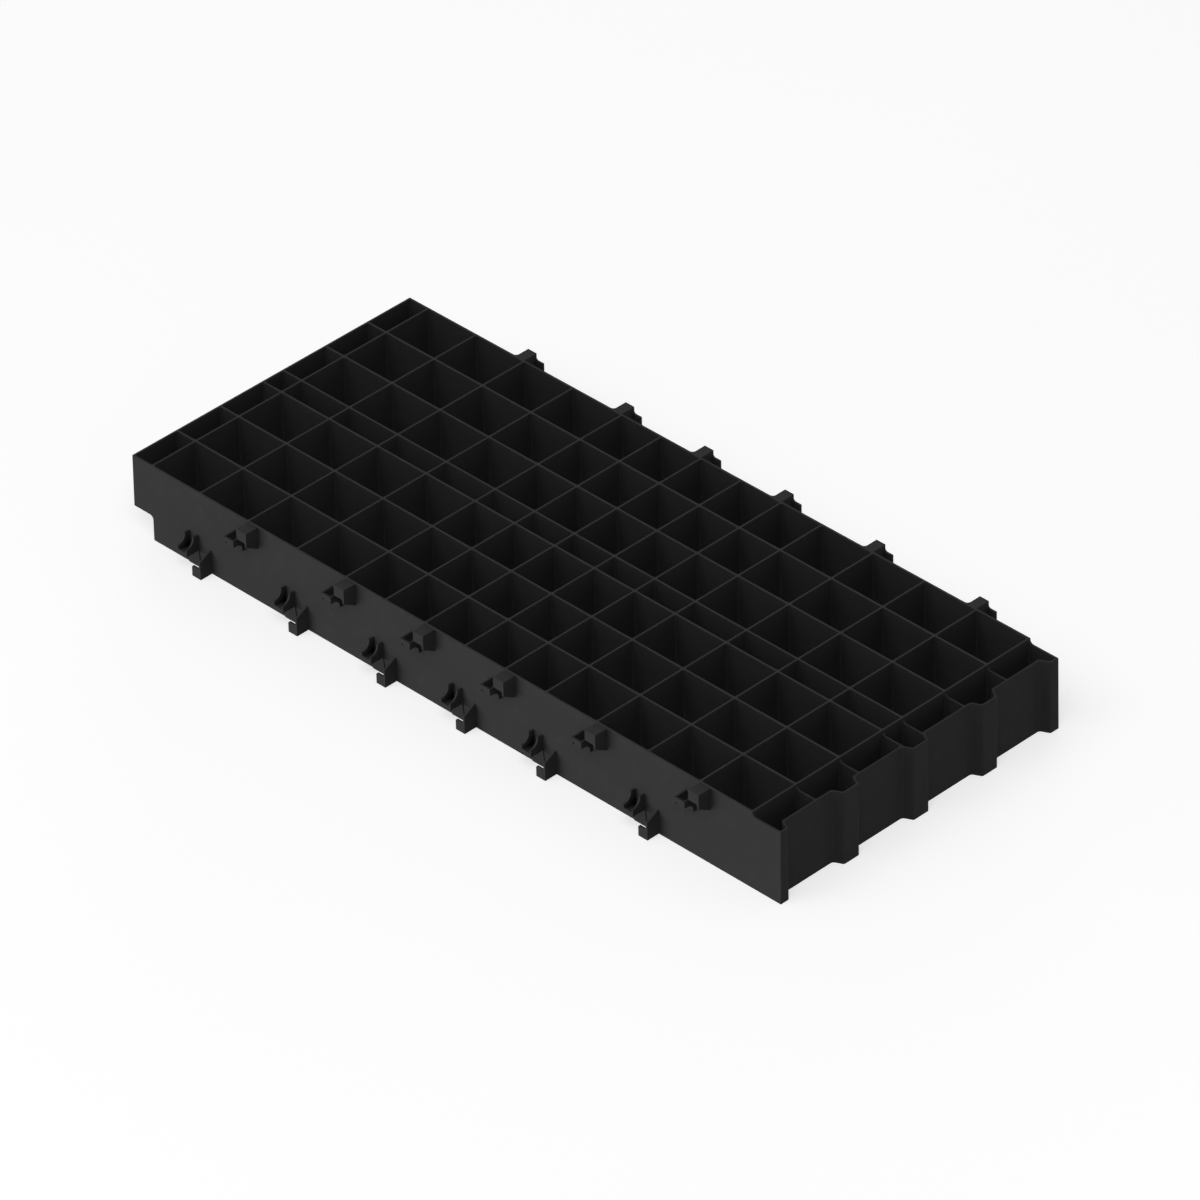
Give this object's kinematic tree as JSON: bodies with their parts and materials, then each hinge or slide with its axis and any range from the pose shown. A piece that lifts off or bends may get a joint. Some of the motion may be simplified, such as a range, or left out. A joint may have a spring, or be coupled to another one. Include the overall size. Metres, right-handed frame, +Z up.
{
  "type": "plug tray",
  "caption": "Rectangular open grid tray for growing plugs, with wavy end wall, stepped plain end, and coupling clips along both long sides.",
  "frame": {"origin": "on the ground, under the middle of the whole tray's box", "axes": "+X along the tray towards the wavy end, +Y across it towards the side with the top tabs, +Z up"},
  "size_m": [0.6478, 0.302, 0.065],
  "materials": {
    "tray_plastic": "black moulded polypropylene, satin to matt"
  },
  "bodies": {
    "root": {"cross_divider_01": "tray_plastic", "cross_divider_02": "tray_plastic", "cross_divider_03": "tray_plastic", "cross_divider_04": "tray_plastic", "cross_divider_05": "tray_plastic", "cross_divider_06": "tray_plastic", "cross_divider_07": "tray_plastic", "cross_divider_08": "tray_plastic", "cross_divider_09": "tray_plastic", "cross_divider_10": "tray_plastic", "cross_divider_11": "tray_plastic", "cross_divider_12": "tray_plastic", "cross_divider_13": "tray_plastic", "cross_divider_14": "tray_plastic", "front_cradle_01": "tray_plastic", "front_cradle_02": "tray_plastic", "front_cradle_03": "tray_plastic", "front_cradle_04": "tray_plastic", "front_cradle_05": "tray_plastic", "front_cradle_06": "tray_plastic", "front_hook_01": "tray_plastic", "front_hook_02": "tray_plastic", "front_hook_03": "tray_plastic", "front_hook_04": "tray_plastic", "front_hook_05": "tray_plastic", "front_hook_06": "tray_plastic", "front_latch_01": "tray_plastic", "front_latch_02": "tray_plastic", "front_latch_03": "tray_plastic", "front_latch_04": "tray_plastic", "front_latch_05": "tray_plastic", "front_latch_06": "tray_plastic", "front_wall": "tray_plastic", "long_divider_01": "tray_plastic", "long_divider_02": "tray_plastic", "long_divider_03": "tray_plastic", "long_divider_04": "tray_plastic", "long_divider_05": "tray_plastic", "long_divider_06": "tray_plastic", "plain_end_wall": "tray_plastic", "plug_rest_bar_01": "tray_plastic", "plug_rest_bar_02": "tray_plastic", "plug_rest_bar_03": "tray_plastic", "plug_rest_bar_04": "tray_plastic", "plug_rest_bar_05": "tray_plastic", "plug_rest_bar_06": "tray_plastic", "rear_catch_01": "tray_plastic", "rear_catch_02": "tray_plastic", "rear_catch_03": "tray_plastic", "rear_catch_04": "tray_plastic", "rear_catch_05": "tray_plastic", "rear_catch_06": "tray_plastic", "rear_tab_01": "tray_plastic", "rear_tab_02": "tray_plastic", "rear_tab_03": "tray_plastic", "rear_tab_04": "tray_plastic", "rear_tab_05": "tray_plastic", "rear_tab_06": "tray_plastic", "rear_wall": "tray_plastic", "wavy_end_wall": "tray_plastic"}
  },
  "joints": []
}
